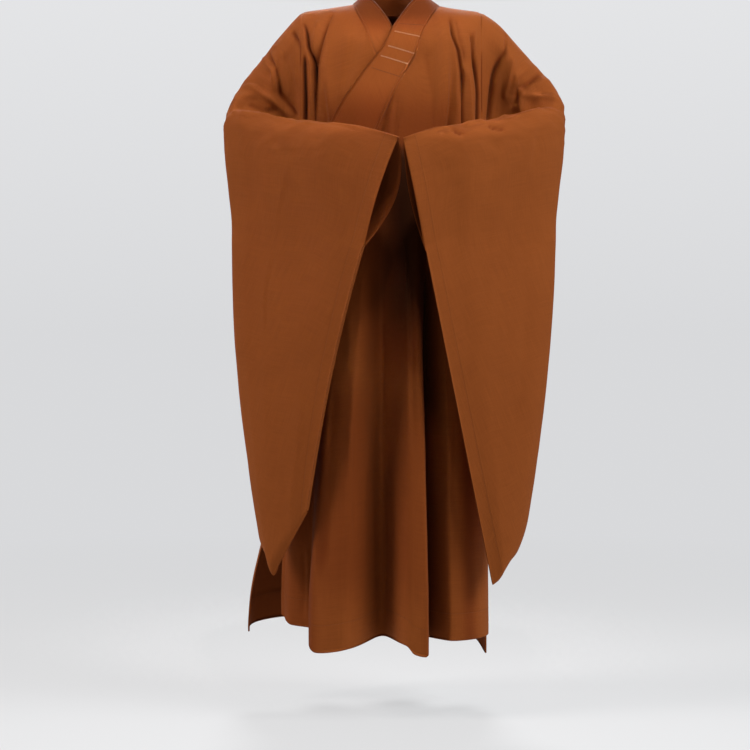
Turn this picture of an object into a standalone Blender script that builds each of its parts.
"""A wide-sleeved Buddhist robe, worn with the forearms raised and the hands together in front.

Metres, +Z up. The front of the robe faces -Y and its wearer's left is +X. The origin lies midway between
the wearer's shoulders, where they carry the robe. Every piece is a thin wall: a sheet of points on the
cloth's outer side, and the same sheet moved inwards by the wall's thickness.
"""

import math

import bmesh
import bpy
from mathutils import Vector

# Driving sizes of the robe
CLOTH = 0.0020            # wall of one layer of cloth
BAND_CLOTH = 0.0032       # wall of the folded neck band
BAND_STEP = 0.0012        # how far the neck band stands out of the panels
SEAM_GAP = 0.0003         # between two pieces that are sewn together
BAND_GAP = 0.0012         # between the band and the panels
ARMHOLE_DROP = 0.330      # shoulder line to underarm
SLIT_DROP = 0.760         # shoulder line to the top of the side slits
ROBE_DROP = 1.165         # shoulder line to hem
HEM_DEPTH = 0.052         # turned-up hem, where the wall is doubled
HEM_FOLD = 0.003          # over which the wall thickens
SHOULDER_PEAK = 0.0315    # height of the shoulder line at the centre
SHOULDER_SLOPE = 0.152    # its fall towards the arms
SHOULDER_ROUND = 0.09     # drop over which the shoulder rounds into the chest and the back
OVERLAP = 0.0075          # from the outer front's face to the inner front's
OVERLAP_FADE = 10.0       # degrees from the side in which the inner front comes out to the seam
BOXINESS = 0.90           # below 1, a section is squarer than an ellipse
ARMHOLE_ANGLE = 38.0      # half of the armhole's width, in degrees of the section
MITRE = 0.6               # a wall keeps its thickness in folds down to this cosine of half their turn
ARMHOLE_REACH = 38.0      # degrees from the centre past which a panel's columns give way to the armhole
SLIT_PART = 0.008         # how far the front and the back part from the slit's line, each
FLARE = 0.064             # how far the back swings out at the hem on the wearer's right
BAND_WIDTH = 0.062        # neck band
MOUTH = 0.205             # open length of a sleeve's mouth, from the wrist
MOUTH_HALF = 0.029        # half the width that it stands open
MOUTH_LEAN = 0.70         # how much more the layer next to the body gives way than the outer one
CUFF_FADE = 0.14          # share of a sleeve over which its form turns into the mouth's
SLEEVE_ROUND = 0.030      # height over which a sleeve closes at its bottom seam

BROWN = (0.235, 0.062, 0.016, 1.0)
BAND_BROWN = (0.262, 0.072, 0.019, 1.0)

# Sections of the body
BODY_SECTIONS = (
    # drop, half_width, front, back, shift_x
    (0.000, 0.168, 0.118, 0.092, 0.000),
    (0.120, 0.168, 0.122, 0.098, 0.000),
    (0.330, 0.172, 0.128, 0.104, 0.000),
    (0.480, 0.182, 0.128, 0.110, -0.003),
    (0.700, 0.188, 0.132, 0.122, -0.007),
    (0.950, 0.192, 0.146, 0.140, -0.011),
    (1.165, 0.195, 0.160, 0.152, -0.013),
)

# Crests and valleys of the skirt, in degrees from the centre front, positive towards the wearer's left:
# where each starts at the waist, where it ends at the hem, how far it stands out there, and its first drop
SKIRT_FOLDS = (
    # waist, hem, out, start
    (-90.0, -90.0, 0.000, 0.50),
    (-64.0, -68.0, 0.004, 0.50),
    (-42.0, -48.0, -0.012, 0.48),
    (-24.0, -33.0, 0.036, 0.40),
    (-13.0, -19.0, 0.040, 0.38),
    (-3.5, -1.0, -0.060, 0.40),
    (8.0, 11.0, 0.042, 0.36),
    (12.5, 17.5, 0.044, 0.36),
    (22.0, 27.5, -0.074, 0.34),
    (31.5, 37.0, 0.002, 0.38),
    (52.0, 56.0, 0.010, 0.50),
    (90.0, 90.0, 0.000, 0.50),
    (112.0, 112.0, -0.022, 0.48),
    (132.0, 132.0, 0.024, 0.44),
    (151.0, 152.0, -0.032, 0.42),
    (171.0, 172.0, 0.028, 0.40),
    (190.0, 192.0, -0.034, 0.40),
    (209.0, 212.0, 0.026, 0.42),
    (229.0, 232.0, -0.022, 0.46),
    (250.0, 251.0, 0.012, 0.50),
    (270.0, 270.0, 0.000, 0.50),
)

# Upright folds that run down from the shoulders, beside the armholes
CHEST_FOLDS = (
    # angle, half_width, out, drop, reach_up, reach_down
    (-41.0, 3.5, -0.009, 0.210, 0.16, 0.26),
    (-34.0, 4.0, 0.005, 0.200, 0.14, 0.26),
    (32.0, 3.2, -0.010, 0.180, 0.14, 0.28),
    (39.0, 3.6, 0.006, 0.200, 0.16, 0.28),
    (25.0, 4.5, 0.004, 0.160, 0.12, 0.28),
    (150.0, 6.0, 0.006, 0.250, 0.20, 0.40),
    (210.0, 6.0, 0.006, 0.250, 0.20, 0.40),
)

# How far the hem rises from its level, or dips where it is negative
FRONT_HEM = (
    # angle, rise
    (-90.0, 0.036), (-66.0, 0.026), (-44.0, 0.022), (-38.5, 0.000), (-31.0, -0.012), (-14.0, -0.003), (0.0, 0.009),
    (8.5, 0.004), (12.0, -0.011), (17.0, -0.016), (21.0, -0.010), (26.0, 0.006), (42.0, 0.004), (90.0, 0.004),
)
BACK_HEM = (
    # angle, rise
    (90.0, -0.040), (102.0, -0.018), (118.0, 0.000), (172.0, -0.008), (192.0, 0.008), (224.0, 0.017),
    (238.0, 0.021), (250.0, 0.013), (262.0, 0.005), (270.0, 0.001),
)

# The neck band on each front, seen from the front: its seam, which is the panel's neckline, and the point of
# its free edge that lies across from it
OUTER_BAND = (
    # seam x, seam z, edge x, edge z
    (-0.1580, -0.3780, -0.1570, -0.3180),
    (-0.1150, -0.3380, -0.1400, -0.2680),
    (-0.0750, -0.2920, -0.1180, -0.2200),
    (-0.0450, -0.2500, -0.1000, -0.1860),
    (-0.0260, -0.2160, -0.0880, -0.1650),
    (0.0015, -0.1560, -0.0620, -0.1290),
    (0.0164, -0.1264, -0.0450, -0.1070),
    (0.0440, -0.0830, -0.0120, -0.0660),
    (0.0567, -0.0400, 0.0035, -0.0310),
    (0.0740, -0.0080, 0.0200, -0.0040),
    (0.0916, 0.0176, 0.0370, 0.0180),
)
INNER_BAND = (
    # seam x, seam z, edge x, edge z
    (-0.0720, 0.0206, -0.0220, 0.0180),
    (-0.0625, -0.0020, -0.0120, 0.0000),
    (-0.0494, -0.0250, -0.0020, -0.0200),
    (-0.0356, -0.0695, 0.0140, -0.0560),
    (-0.0200, -0.1050, 0.0340, -0.0880),
    (0.0000, -0.1500, 0.0580, -0.1280),
    (0.0300, -0.2000, 0.0840, -0.1720),
    (0.0500, -0.2280, 0.1020, -0.1980),
)
BACK_NECKLINE = (
    # x, z
    (-0.0720, 0.0206), (-0.0560, 0.0110), (0.0080, 0.0050), (0.0740, 0.0090), (0.0916, 0.0176),
)
NECK_BLEND = (0.050, 0.074)   # distance from the centre over which the band leaves the panel for the neck
BAND_STEPS = 4                # steps across the band

# The outer front's free edge
OUTER_EDGE = (
    # drop, angle
    (0.30, -63.0), (0.45, -62.0), (0.76, -52.0), (0.95, -47.0), (1.165, -43.5),
)

# Columns of each panel, in degrees at the hem
OUTER_COLUMNS = ((90.0, 38.0, 10), (38.0, 30.0, 3), (30.0, 6.0, 18), (6.0, -43.5, 16))
INNER_COLUMNS = ((-90.0, -43.5, 9), (-43.5, -16.0, 9), (-16.0, 4.0, 9))
BACK_COLUMNS = ((90.0, 270.0, 40),)

# Free edge of the neck band round the neck, by the direction of its seam seen from above
NECK_CENTRE = (0.005, -0.020)
NECK_EDGE = (
    # direction, x, y, z
    (-60.0, 0.0035, -0.112, -0.031),
    (-30.0, 0.031, -0.084, 0.010),
    (0.0, 0.050, -0.046, 0.036),
    (45.0, 0.050, 0.014, 0.056),
    (90.0, 0.005, 0.050, 0.062),
    (135.0, -0.042, 0.014, 0.056),
    (180.0, -0.044, -0.042, 0.036),
    (210.0, -0.025, -0.080, 0.010),
    (237.0, 0.002, -0.104, -0.030),
)

# Sleeves: the ridge along the arm, the bottom seam, which way the outer layer faces, half of the width
# round the arm and below it, and how far the hanging cloth bows outwards. Positions are for the wearer's
# right; x counts outwards from the centre.
RIGHT_SLEEVE = (
    # along, ridge x, y, z, seam x, y, z, facing, arm, hang, bow
    (0.00, 0.1683, 0.000, 0.006, 0.1723, 0.000, -0.330, 90.0, 0.058, 0.040, 0.000),
    (0.12, 0.195, -0.002, -0.023, 0.1920, 0.000, -0.460, 92.0, 0.056, 0.030, 0.004),
    (0.26, 0.225, -0.008, -0.060, 0.2090, -0.010, -0.640, 102.0, 0.050, 0.022, 0.010),
    (0.38, 0.248, -0.022, -0.100, 0.2220, -0.030, -0.800, 130.0, 0.041, 0.017, 0.020),
    (0.47, 0.267, -0.044, -0.144, 0.2300, -0.055, -0.920, 165.0, 0.034, 0.013, 0.025),
    (0.55, 0.278, -0.066, -0.180, 0.2320, -0.082, -0.990, 198.0, 0.032, 0.012, 0.025),
    (0.63, 0.254, -0.098, -0.184, 0.2240, -0.108, -1.017, 222.0, 0.034, 0.012, 0.022),
    (0.675, 0.228, -0.118, -0.191, 0.2165, -0.117, -1.0435, 228.0, 0.035, 0.012, 0.021),
    (0.72, 0.200, -0.138, -0.200, 0.2080, -0.126, -1.024, 232.0, 0.036, 0.012, 0.020),
    (0.82, 0.130, -0.184, -0.210, 0.1900, -0.142, -0.990, 234.0, 0.036, 0.011, 0.018),
    (0.92, 0.060, -0.230, -0.220, 0.1680, -0.158, -0.948, 233.0, 0.034, 0.010, 0.017),
    (1.00, -0.012, -0.268, -0.242, 0.1530, -0.170, -0.920, 232.0, 0.026, 0.006, 0.018),
)
LEFT_SLEEVE = (
    # along, ridge x, y, z, seam x, y, z, facing, arm, hang, bow
    (0.00, 0.1683, 0.000, 0.006, 0.1723, 0.000, -0.330, 90.0, 0.058, 0.040, 0.000),
    (0.12, 0.197, -0.002, -0.012, 0.1930, 0.000, -0.460, 92.0, 0.056, 0.030, 0.004),
    (0.26, 0.234, -0.008, -0.052, 0.2130, -0.010, -0.640, 102.0, 0.050, 0.022, 0.010),
    (0.38, 0.265, -0.022, -0.097, 0.2300, -0.030, -0.800, 130.0, 0.044, 0.017, 0.018),
    (0.47, 0.286, -0.042, -0.138, 0.2400, -0.055, -0.900, 165.0, 0.036, 0.013, 0.022),
    (0.55, 0.290, -0.066, -0.174, 0.2400, -0.082, -0.960, 198.0, 0.032, 0.012, 0.024),
    (0.63, 0.266, -0.098, -0.181, 0.2310, -0.104, -1.000, 222.0, 0.034, 0.012, 0.021),
    (0.72, 0.214, -0.138, -0.196, 0.2180, -0.120, -1.017, 232.0, 0.036, 0.012, 0.015),
    (0.82, 0.146, -0.184, -0.212, 0.2080, -0.130, -1.033, 234.0, 0.036, 0.011, 0.008),
    (0.92, 0.078, -0.230, -0.224, 0.1990, -0.136, -1.048, 246.0, 0.034, 0.010, 0.003),
    (1.00, 0.022, -0.268, -0.244, 0.1870, -0.140, -1.057, 260.0, 0.024, 0.006, 0.000),
)
RING_STEPS = 2            # rings for each row of a sleeve's table
ARM_STEPS = 4             # steps of a ring round the arm
HANG_STEPS = 8            # and down the hanging cloth
ARM_FADE = 0.20           # height over which a sleeve narrows below the arm
SLEEVE_HEAD = 0.16        # share of a sleeve that still keeps the armhole's form


# ---------------------------------------------------------------- small tools

def mix(a, b, share):
    return a + (b - a) * share


def smooth(x, low=0.0, high=1.0):
    """0 below low, 1 above high, and an even S between."""
    share = min(1.0, max(0.0, (x - low) / (high - low)))
    return share * share * (3 - 2 * share)


def spline(x, table, column=1):
    """A smooth curve through a table's rows, level past its ends, that never overshoots a row."""
    if x <= table[0][0]:
        return table[0][column]
    if x >= table[-1][0]:
        return table[-1][column]
    k = max(i for i in range(len(table) - 1) if table[i][0] <= x)

    def slope(i):
        if i in (0, len(table) - 1):
            return 0.0
        before = (table[i][column] - table[i - 1][column]) / (table[i][0] - table[i - 1][0])
        after = (table[i + 1][column] - table[i][column]) / (table[i + 1][0] - table[i][0])
        return 0.0 if before * after <= 0 else 2 * before * after / (before + after)

    width = table[k + 1][0] - table[k][0]
    s = (x - table[k][0]) / width
    low, high = table[k][column], table[k + 1][column]
    rise_out, rise_in = slope(k) * width, slope(k + 1) * width
    return (low * (1 + 2 * s) * (1 - s) ** 2 + rise_out * s * (1 - s) ** 2
            + high * s * s * (3 - 2 * s) - rise_in * s * s * (1 - s))


def line(x, table, column=1):
    """Straight from row to row of a table, and on past its ends."""
    k = max([i for i in range(len(table) - 1) if table[i][0] <= x] or [0])
    share = (x - table[k][0]) / (table[k + 1][0] - table[k][0])
    return mix(table[k][column], table[k + 1][column], share)


def solve(function, low, high):
    """Where a function that crosses zero once does so, by halving."""
    rising = function(high) > 0
    for _ in range(40):
        middle = (low + high) / 2
        if (function(middle) > 0) == rising:
            high = middle
        else:
            low = middle
    return (low + high) / 2


def power(value, exponent):
    return math.copysign(abs(value) ** exponent, value)


def steps(ranges):
    """Values from one end to the other of each range, in its number of steps."""
    values = [ranges[0][0]]
    for start, end, count in ranges:
        values += [mix(start, end, (i + 1) / count) for i in range(count)]
    return values


# ---------------------------------------------------------------- the body's surface

def section(drop):
    return [spline(drop, BODY_SECTIONS, column) for column in range(1, 5)]


def armhole_opening(drop):
    """Half of the armhole's width at this drop, in degrees; 0 from the underarm down."""
    return ARMHOLE_ANGLE * max(0.0, 1.0 - (drop / ARMHOLE_DROP) ** 2.6) ** 0.75


def side_angle(drop):
    """Where the front ends at the armhole or the side seam."""
    return 90.0 - armhole_opening(drop)


def fold_out(angle, drop):
    """How far the cloth stands out of the plain section."""
    crests = []
    for waist, hem, out, start in SKIRT_FOLDS:
        at = mix(waist, hem, smooth(drop, start, ROBE_DROP))
        crests.append((at, out * smooth(drop, start - 0.12, start + 0.56)))
    total = spline(angle, crests)
    for at, width, out, middle, up, down in CHEST_FOLDS:
        reach = up if drop < middle else down
        fade = 1.0 - smooth(abs(drop - middle) / reach)
        total += out * fade * math.exp(-((angle - at) / width) ** 2)
    return total


def body_point(angle, drop, back=False):
    """A point of the body's outer side, at an angle from the centre front and a drop from the shoulder."""
    half_width, front_depth, back_depth, shift_x = section(drop)
    half_width /= math.sin(math.radians(side_angle(drop))) ** BOXINESS
    depth = back_depth if back else front_depth
    across = power(math.sin(math.radians(angle)), BOXINESS)
    along = power(math.cos(math.radians(angle)), BOXINESS)
    rounding = math.sqrt(1.0 - max(0.0, 1.0 - drop / SHOULDER_ROUND) ** 2)
    out = fold_out(angle, drop) * rounding
    facing = Vector((across / half_width, -along / depth)).normalized()
    x = shift_x + half_width * across + out * facing.x
    y = -depth * along * rounding + out * facing.y
    ridge = (SHOULDER_PEAK - SHOULDER_SLOPE * abs(x)) * (1.0 - smooth(drop, 0.0, 0.45))
    near_hem = smooth(drop, 0.62, ROBE_DROP)
    parting = SLIT_PART * smooth(drop, SLIT_DROP, SLIT_DROP + 0.15) + SEAM_GAP / 2
    if back:
        x -= FLARE * smooth(angle, 214.0, 266.0) * smooth(drop, SLIT_DROP, ROBE_DROP)
        rise = spline(angle, BACK_HEM) * near_hem
        y += parting * smooth(abs(angle - 180.0), 60.0, 90.0) + SEAM_GAP / 2
    else:
        rise = spline(angle, FRONT_HEM) * near_hem
        y -= parting * smooth(abs(angle), 60.0, 90.0) + SEAM_GAP / 2
    return Vector((x, y, ridge - drop + rise))


def body_normal(angle, drop):
    turn, fall = 0.4, 0.002
    across = body_point(angle + turn, drop) - body_point(angle - turn, drop)
    down = body_point(angle, drop + fall) - body_point(angle, max(0.0, drop - fall))
    return down.cross(across).normalized()


def overlap(angle, drop):
    """How far the inner front lies under the outer front's surface."""
    from_side = side_angle(drop) + angle
    return OVERLAP * smooth(from_side, 0.0, OVERLAP_FADE) * smooth(drop, 0.0, 0.055)


def front_on(x, z, under=False):
    """The point of the front that is seen at x and z from the front, on the outer or the inner front."""
    def height(drop):
        return (SHOULDER_PEAK - SHOULDER_SLOPE * abs(x)) * (1.0 - smooth(drop, 0.0, 0.45)) - drop
    drop = solve(lambda d: height(d) - z, 0.0, 0.6)
    angle = solve(lambda a: body_point(a, drop).x - x, -85.0, 85.0)
    point = body_point(angle, drop)
    return point - body_normal(angle, drop) * overlap(angle, drop) if under else point


# ---------------------------------------------------------------- panels

def row_drops():
    """Drops of the panels' rows, measured where a panel reaches the shoulder line."""
    armhole = [ARMHOLE_DROP * (i / 9) ** 1.7 for i in range(10)]
    hem = ROBE_DROP - HEM_DEPTH
    below = steps(((ARMHOLE_DROP, SLIT_DROP, 5), (SLIT_DROP, hem - HEM_FOLD, 4),
                   (hem - HEM_FOLD, hem, 1), (hem, ROBE_DROP, 2)))
    return armhole + below[1:]


def panel_sheet(columns, angle_at, neckline, back=False, under=False):
    """Outer and inner points of a panel, column by column, from its shoulder or neckline to the hem.

    angle_at gives the angle of a column at any drop, from its angle at the hem. The third list holds the
    place on the body's surface where each column starts, and the way that the panel faces there.
    """
    outer, tops = [], []
    for column in columns:
        def above(drop):
            point = body_point(angle_at(column, drop), drop, back)
            return point.z - line(point.x, neckline)
        top = solve(above, 0.0, 0.6) if above(0.0) > 1e-6 else 0.0
        tops.append(body_point(angle_at(column, top), top, back))
        points = []
        for row in row_drops():
            drop = mix(top, SLIT_DROP, row / SLIT_DROP) if row < SLIT_DROP else row
            angle = angle_at(column, drop)
            point = body_point(angle, drop, back)
            if under:
                point -= body_normal(angle, drop) * overlap(angle, drop)
            points.append(point)
        outer.append(points)
    facings = sheet_normals(outer, False, Vector((0.0, 0.5 if back else -0.5, 1.0)))
    inner = []
    for points, normals in zip(outer, facings):
        inside = []
        for row, point, normal in zip(row_drops(), points, normals):
            if abs(point.y) < SEAM_GAP or (points in (outer[0], outer[-1]) and row >= ARMHOLE_DROP):
                normal.y = 0.0
                normal.normalize()
            doubled = row >= ROBE_DROP - HEM_DEPTH - 1e-6
            inside.append(point - normal * (2 * CLOTH if doubled else CLOTH))
        inner.append(inside)
    seam = [(point, normals[0]) for point, normals in zip(tops, facings)]
    return outer, inner, seam


def beside_armhole(angle, drop):
    """The angle moved in from the side, so that the columns near it pass the armhole."""
    return angle - armhole_opening(drop) * max(0.0, (angle - ARMHOLE_REACH) / (90.0 - ARMHOLE_REACH))


def lean(column, drop):
    """How far a column of either front leans with the outer front's free edge."""
    edge = OUTER_EDGE[-1][1]
    share = column / edge if column > edge else (90.0 + column) / (90.0 + edge)
    return (spline(drop, OUTER_EDGE) - edge) * max(0.0, share)


def outer_front_angle(column, drop):
    return beside_armhole(column, drop) + lean(column, drop)


def inner_front_angle(column, drop):
    below_armhole = smooth(drop, ARMHOLE_DROP, ARMHOLE_DROP + 0.10)
    return -beside_armhole(-column, drop) + lean(column, drop) * below_armhole


def back_angle(column, drop):
    if column < 180.0:
        return 180.0 - beside_armhole(180.0 - column, drop)
    return 180.0 + beside_armhole(column - 180.0, drop)


def with_column_at(columns, angle_at, neck_x, back=False):
    """The columns, with the one nearest to a neck point moved onto it."""
    def beyond(column):
        return body_point(angle_at(column, 0.0), 0.0, back).x - neck_x
    at = solve(beyond, min(columns), max(columns))
    nearest = min(range(len(columns)), key=lambda i: abs(columns[i] - at))
    columns[nearest] = at
    return columns


# ---------------------------------------------------------------- neck band

def neck_edge(point):
    """Where the band's free edge stands round the neck, across from this point of its seam."""
    direction = math.degrees(math.atan2(point.y - NECK_CENTRE[1], point.x - NECK_CENTRE[0]))
    direction = (direction + 90.0) % 360.0 - 90.0
    return Vector([spline(direction, NECK_EDGE, column) for column in (1, 2, 3)])


def across_band(point, table=None):
    """Points across the band from a point of its seam: on its front, or standing up round the neck."""
    seam_x, seam_z = point.x, point.z
    standing = 1.0
    if table is OUTER_BAND:
        standing = smooth(point.x, *NECK_BLEND)
    elif table is INNER_BAND:
        standing = smooth(-point.x, *NECK_BLEND)
    if table is INNER_BAND:
        point = front_on(point.x, point.z, under=True)
    across = []
    for i in range(BAND_STEPS + 1):
        share = mix(BAND_GAP / BAND_WIDTH, 1.0, i / BAND_STEPS)
        spot = Vector((0.0, 0.0, 0.0))
        if standing < 1.0:
            x = mix(seam_x, line(seam_x, table, 2), share)
            z = mix(seam_z, line(seam_x, table, 3), share)
            spot += front_on(x, z, table is INNER_BAND) * (1.0 - standing)
        if standing > 0.0:
            spot += mix(point, neck_edge(point), share) * standing
        across.append(spot)
    return across


def band_sheet(outer_seam, back_seam, inner_seam):
    """Outer and inner points of the band, from the tops of the three panels that it is sewn to."""
    stations = [(point, facing, OUTER_BAND) for point, facing in reversed(outer_seam)]
    stations += [(point, facing, None) for point, facing in back_seam[1:-1]]
    stations += [(point, facing, INNER_BAND) for point, facing in inner_seam]
    rows = [across_band(point, table) for point, facing, table in stations]
    normals = sheet_normals(rows, False, stations[0][1])
    for row, station in zip(normals, stations):
        row[0] = station[1]
    outer = [[p + n * BAND_STEP for p, n in zip(row, ns)] for row, ns in zip(rows, normals)]
    inner = [[p - n * BAND_CLOTH for p, n in zip(row, ns)] for row, ns in zip(outer, normals)]
    return outer, inner


# ---------------------------------------------------------------- sleeves

def ring_downs(length, arm):
    """Distances down a ring: round the arm, down the hanging cloth, round the bottom."""
    over_arm = [arm * (1.0 - math.cos(math.pi / 2 * i / ARM_STEPS)) for i in range(ARM_STEPS + 1)]
    hanging = [mix(arm, length - SLEEVE_ROUND, (i / HANG_STEPS) ** 1.15) for i in range(1, HANG_STEPS + 1)]
    bottom = [length - SLEEVE_ROUND * (1.0 - math.sin(math.pi / 2 * i / 3)) for i in (1, 2, 3)]
    return over_arm + hanging + bottom


def ring_gap(down, length, arm, hang):
    """Half of the sleeve's width, this far down a ring."""
    over_arm = math.sqrt(1.0 - max(0.0, 1.0 - down / arm) ** 2)
    bottom = math.sqrt(1.0 - max(0.0, 1.0 - (length - down) / SLEEVE_ROUND) ** 2)
    return mix(arm, hang, smooth(down, arm, arm + ARM_FADE)) * over_arm * bottom


def sleeve_ring(side, table, along):
    """One ring of a sleeve: from the ridge down the outer layer, and back up the inner one."""
    values = [spline(along, table, column) for column in range(1, 11)]
    ridge, seam = Vector(values[0:3]), Vector(values[3:6])
    facing, arm, hang, bow = values[6:]
    length = (seam - ridge).length
    outwards = Vector((-math.cos(math.radians(facing)), math.sin(math.radians(facing)), 0.0))
    sewn = 1.0 - smooth(along, 0.0, SLEEVE_HEAD)
    layers = []
    for layer in (1.0, -1.0):
        points = []
        for down in ring_downs(length, arm):
            share = down / length
            point = mix(ridge, seam, share)
            point.x += bow * math.sin(math.pi * share)
            gap = ring_gap(down, length, arm, hang)
            half_open = MOUTH_HALF * math.sin(math.pi * min(1.0, down / MOUTH)) ** 0.9
            plain = smooth(1.0 - along, 0.0, CUFF_FADE)
            gap = mix(max(min(gap, hang), half_open), gap, plain)
            point += outwards * (layer * gap - MOUTH_LEAN * half_open * (1.0 - plain))
            point.x *= side
            if sewn > 0.0:
                drop = ARMHOLE_DROP * share
                turn = side_angle(drop) * side
                edge = body_point(180.0 - turn, drop, True) if layer > 0 else body_point(turn, drop)
                edge.x += side * SEAM_GAP
                point = mix(point, edge, sewn)
            points.append(point)
        layers.append(points)
    top = (layers[0][0] + layers[1][0]) / 2
    bottom = (layers[0][-1] + layers[1][-1]) / 2
    return [top] + layers[0][1:-1] + [bottom] + layers[1][-2:0:-1]


def sleeve_sheet(side, table):
    """Outer and inner points of a sleeve, ring by ring, and the number of steps down its open mouth."""
    alongs = steps([(a[0], b[0], RING_STEPS) for a, b in zip(table, table[1:])])
    outer = [sleeve_ring(side, table, along) for along in alongs]
    normals = sheet_normals(outer, True, Vector((0.0, 0.5, 1.0)))
    for normal in normals[0]:
        normal.x = 0.0
        normal.normalize()
    inner = [[p - n * CLOTH for p, n in zip(row, ns)] for row, ns in zip(outer, normals)]
    last = outer[-1]
    count = len(last)
    mouth = min(range(count // 2), key=lambda i: abs((last[i] - last[0]).length - MOUTH))
    for i in range(mouth, count - mouth + 1):
        inner[-1][i] += (outer[-2][i] - last[i]).normalized() * CLOTH
    return outer, inner, mouth


# ---------------------------------------------------------------- meshes

def sheet_normals(rows, wrap, start_facing):
    """The way each point of a grid faces, on the side where its first points roughly face start_facing.

    A normal is longer in a sharp fold, so that a wall moved along it keeps its thickness.
    """
    def bend(points, i, around):
        """The direction through a point of a line of points, and how much longer its normal is."""
        before = points[i] - points[i - 1] if around or i > 0 else None
        after = points[(i + 1) % len(points)] - points[i] if around or i < len(points) - 1 else None
        if before is None or after is None:
            return (before or after).normalized(), 1.0
        through = before.normalized() + after.normalized()
        return through.normalized(), 2.0 / max(MITRE * 2.0, through.length)

    columns = list(zip(*rows))
    normals = []
    for i, row in enumerate(rows):
        row_normals = []
        for j in range(len(row)):
            down, long_down = bend(columns[j], i, False)
            across, long_across = bend(row, j, wrap)
            row_normals.append(down.cross(across).normalized() * max(long_down, long_across))
        normals.append(row_normals)
    if normals[0][1].dot(start_facing) < 0:
        normals = [[-n for n in row] for row in normals]
    return normals


def add_cell(bm, a, b, c, d):
    """Two triangles, split alike on both sides of a wall so that it keeps its thickness."""
    bm.faces.new((a, b, c))
    bm.faces.new((a, c, d))


def add_sheet(bm, rows, wrap):
    """The vertices of a grid of points, and its faces."""
    grid = [[bm.verts.new(point) for point in row] for row in rows]
    for row, following in zip(grid, grid[1:]):
        count = len(row)
        for j in range(count if wrap else count - 1):
            right = (j + 1) % count
            add_cell(bm, row[j], row[right], following[right], following[j])
    return grid


def add_rim(bm, outer, inner, closed=True):
    """The faces between two matching lines of vertices."""
    count = len(outer)
    for i in range(count if closed else count - 1):
        after = (i + 1) % count
        add_cell(bm, outer[i], outer[after], inner[after], inner[i])


def border(grid):
    """The vertices round the edge of a grid."""
    return (grid[0][:-1] + [row[-1] for row in grid[:-1]]
            + grid[-1][:0:-1] + [row[0] for row in grid[:0:-1]])


def cloth_material(name, colour):
    material = bpy.data.materials.new(name)
    material.use_nodes = True
    shader = material.node_tree.nodes["Principled BSDF"]
    shader.inputs["Base Color"].default_value = colour
    shader.inputs["Roughness"].default_value = 0.85
    shader.inputs["Metallic"].default_value = 0.0
    return material


def add_object(name, bm, colour):
    bmesh.ops.recalc_face_normals(bm, faces=bm.faces)
    mesh = bpy.data.meshes.new(name)
    bm.to_mesh(mesh)
    bm.free()
    mesh.shade_smooth()
    mesh.set_sharp_from_angle(angle=math.radians(60))
    mesh.materials.append(cloth_material(name, colour))
    piece = bpy.data.objects.new(name, mesh)
    bpy.context.scene.collection.objects.link(piece)
    return piece


def add_flat_piece(name, outer, inner, colour=BROWN):
    """A wall with an edge all round, such as a panel or the band."""
    bm = bmesh.new()
    outside = add_sheet(bm, outer, wrap=False)
    inside = add_sheet(bm, inner, wrap=False)
    add_rim(bm, border(outside), border(inside))
    return add_object(name, bm, colour)


def add_sleeve(name, side, table):
    """A tube from the armhole to the cuff, whose mouth is open at the wrist and sewn up below it."""
    outer, inner, mouth = sleeve_sheet(side, table)
    bm = bmesh.new()
    outside = add_sheet(bm, outer, wrap=True)
    inside = add_sheet(bm, inner, wrap=True)
    add_rim(bm, outside[0], inside[0])
    for cuff in (outside[-1], inside[-1]):
        half = len(cuff) // 2
        for j in range(mouth, half - 1):
            add_cell(bm, cuff[j], cuff[j + 1], cuff[-j - 1], cuff[-j])
        bm.faces.new((cuff[half - 1], cuff[half], cuff[half + 1]))
    out_cuff, in_cuff = outside[-1], inside[-1]
    open_out = out_cuff[-mouth:] + out_cuff[:mouth + 1]
    open_in = in_cuff[-mouth:] + in_cuff[:mouth + 1]
    add_rim(bm, open_out, open_in)
    return add_object(name, bm, BROWN)


# ---------------------------------------------------------------- the robe

def clear_scene():
    for item in list(bpy.data.objects):
        bpy.data.objects.remove(item, do_unlink=True)


def build_robe():
    necks = (OUTER_BAND[-1][0], INNER_BAND[0][0])
    outer_columns = with_column_at(steps(OUTER_COLUMNS), outer_front_angle, necks[0])
    inner_columns = with_column_at(steps(INNER_COLUMNS), inner_front_angle, necks[1])
    back_columns = steps(BACK_COLUMNS)
    for neck in necks:
        back_columns = with_column_at(back_columns, back_angle, neck, back=True)
    outer_front = panel_sheet(outer_columns, outer_front_angle, OUTER_BAND)
    inner_front = panel_sheet(inner_columns, inner_front_angle, INNER_BAND, under=True)
    back = panel_sheet(back_columns, back_angle, BACK_NECKLINE, back=True)
    add_flat_piece("front_outer", *outer_front[:2])
    add_flat_piece("front_inner", *inner_front[:2])
    add_flat_piece("back", *back[:2])
    outer_seam = [top for top in outer_front[2] if top[0].x < necks[0] + 1e-5]
    inner_seam = [top for top in inner_front[2] if top[0].x > necks[1] - 1e-5]
    back_seam = [top for top in back[2] if necks[1] - 1e-5 < top[0].x < necks[0] + 1e-5]
    add_flat_piece("neck_band", *band_sheet(outer_seam, back_seam, inner_seam), BAND_BROWN)
    add_sleeve("sleeve_right", -1, RIGHT_SLEEVE)
    add_sleeve("sleeve_left", 1, LEFT_SLEEVE)


clear_scene()
build_robe()
